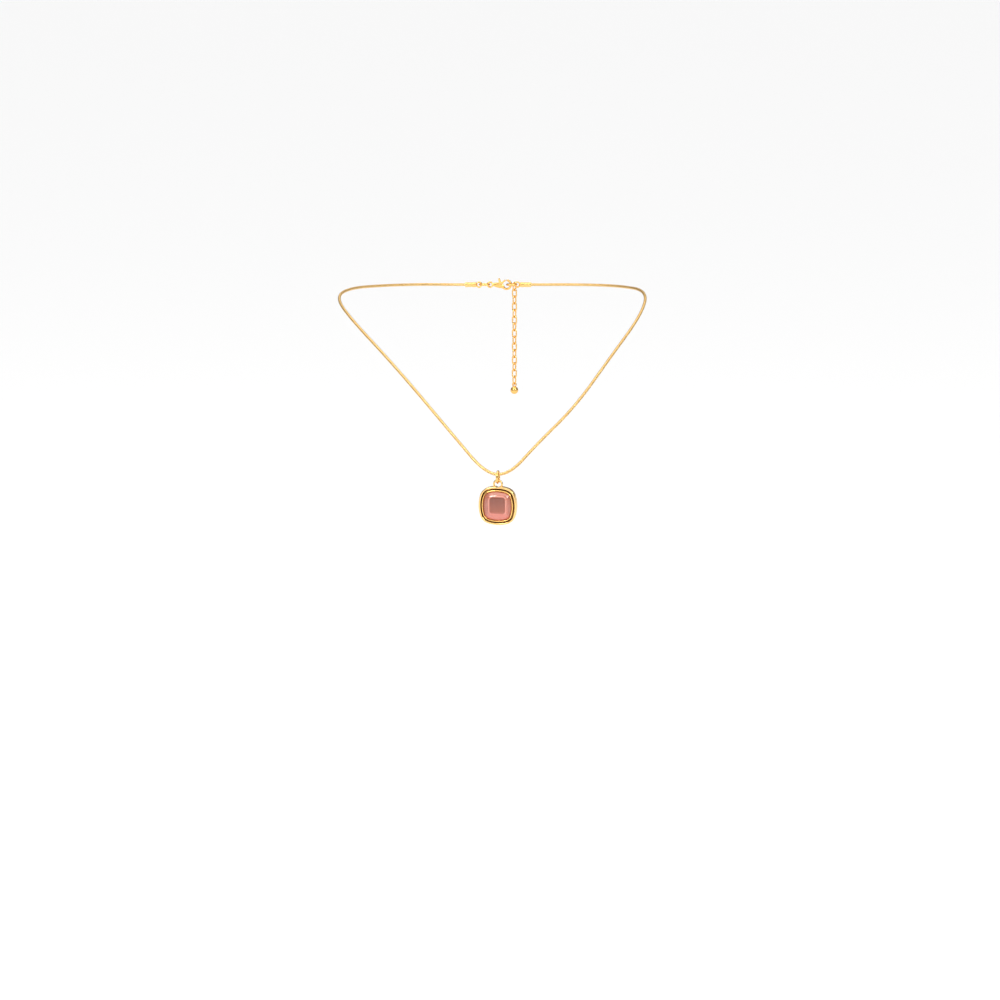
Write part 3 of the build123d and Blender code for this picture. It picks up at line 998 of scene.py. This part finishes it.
def make_clasp_rivet():
    """The rivet through the lever, with domed heads."""
    rivet_plane = Plane(clasp_plane.at(pivot_along, pivot_up), (1, 0, 0), (0, 0, 1))
    half = clasp_half_thickness
    head = [(0.05, 0.00014), (0.4, 0.00013), (0.75, 0.0001), (0.95, 0.00005), (1.0, 0.0)]
    head_radius = rivet_radius + 0.0001
    profile = [(head_radius * r, -half - h) for r, h in head]
    profile += [(rivet_radius, -half), (rivet_radius, half)]
    profile += [(head_radius * r, half + h) for r, h in reversed(head)]
    rivet = turned("clasp_rivet_domed", rivet_plane, profile, sides=40)
    piece(rivet, "clasp", ["clasp_rivet"], gold_finish)


def make_clasp_spring():
    """The leaf on the floor of the slot, bent up behind the lever's heel."""
    line = [(0.005, -0.00019), (0.0042, -0.00019), (0.00345, -0.00019), (0.00331, -0.00014)]
    line += [(0.00331, -0.00002), (0.00336, 0.00055)]
    widths = [0.00006] * len(line)
    strip = bar(clasp_plane, line, widths, [lever_half_thickness] * len(line), squareness=6, sides=16)
    spring = shape("clasp_spring_leaf", *skin(strip))
    piece(spring, "clasp", ["clasp_spring"], spring_steel())


make_clasp_body()
make_clasp_lever()
make_clasp_rivet()
make_clasp_spring()

# ---------------------------------------------------------------- extender chain

outward = (sin(extender_turn), cos(extender_turn), 0)
sideways = (cos(extender_turn), -sin(extender_turn), 0)
for number in range(1, link_count + 1):
    node = f"extender_link_{number:02d}"
    across = outward if number % 2 else sideways
    link_plane = Plane(middle(node), across, (0, 0, 1))
    link = wire_loop(
        f"{node}_wire", link_plane, link_arc_radius, link_wire_radius, link_half_straight, steps=72
    )
    piece(link, f"link_{number:02d}", [node], gold_finish)


def make_end_drop():
    """The ball at the end of the extender, with a turned neck under its eye."""
    low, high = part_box("end_drop")
    x, y, _ = middle("end_drop")
    eye_z = high.z - drop_eye_radius - link_wire_radius
    ball_z = low.z + drop_ball_radius
    profile = []
    for step in range(33):
        turn = radians(-88 + 152 * step / 32)
        profile.append((drop_ball_radius * cos(turn), drop_ball_radius * sin(turn)))
    neck = drop_ball_radius
    profile += [(0.00062, neck - 0.0001), (0.00064, neck - 0.00002), (0.0006, neck + 0.00006)]
    profile += [(0.00046, neck + 0.00012), (0.0002, neck + 0.00014)]
    ball = turned("end_drop_ball", Plane((x, y, ball_z), (1, 0, 0), (0, 1, 0)), profile)
    eye_plane = Plane((x, y, eye_z), sideways, (0, 0, 1))
    combine(ball, solid_ring("eye", eye_plane, drop_eye_radius, link_wire_radius), "UNION")
    piece(ball, "drop", ["end_drop"], gold_finish)


make_end_drop()

# ---------------------------------------------------------------- studio

floor_z = -0.235
floor_size = 6000.0
overhead_light = 2.2
surround_light = 0.34


def make_floor():
    """A wide pale floor, as far below the necklace as the foot of a display bust."""
    half = floor_size / 2
    corners = [(x, y, floor_z) for x, y in ((-half, -half), (half, -half), (half, half), (-half, half))]
    floor = shape("studio_floor", corners, [(0, 1, 2, 3)])
    floor.data.materials.append(studio_paper("floor_paper", (0.9, 0.9, 0.9)))


def soft_light(name, place, aim, size, power, colour=(1, 1, 1)):
    """A square soft light that faces the aim."""
    light = bpy.data.lights.new(name, "AREA")
    light.shape = "SQUARE"
    light.size = size
    light.energy = power
    light.color = colour
    lamp = bpy.data.objects.new(name, light)
    lamp.location = place
    lamp.rotation_euler = (Vector(aim) - Vector(place)).to_track_quat("-Z", "Y").to_euler()
    lamp.visible_camera = False
    scene.collection.objects.link(lamp)


def make_lights():
    """A wide soft light overhead, a dim surround for dark edges on the gold, and three soft boxes."""
    soft_light("key_light", (-0.55, -0.75, 0.55), chain_bottom, 0.35, 4.0, (1, 0.97, 0.92))
    soft_light("side_light", (0.6, -0.75, 0.5), chain_bottom, 0.3, 3.0)
    soft_light("front_light", (0, -1.6, 0.25), chain_bottom, 0.9, 2.0)
    world = bpy.data.worlds.new("studio")
    world.use_nodes = True
    sky = Nodes(world.node_tree)
    _, _, height = sky.apart(sky.node("ShaderNodeTexCoord", {}, {}, "Generated"))
    strength = surround_light + (overhead_light - surround_light) * sky.between(height, 0.66, 0.88)
    background = world.node_tree.nodes["Background"]
    background.inputs["Color"].default_value = (1, 1, 1, 1)
    world.node_tree.links.new(strength.socket, background.inputs["Strength"])
    scene.world = world


make_floor()
make_lights()
scene.view_settings.view_transform = "Standard"
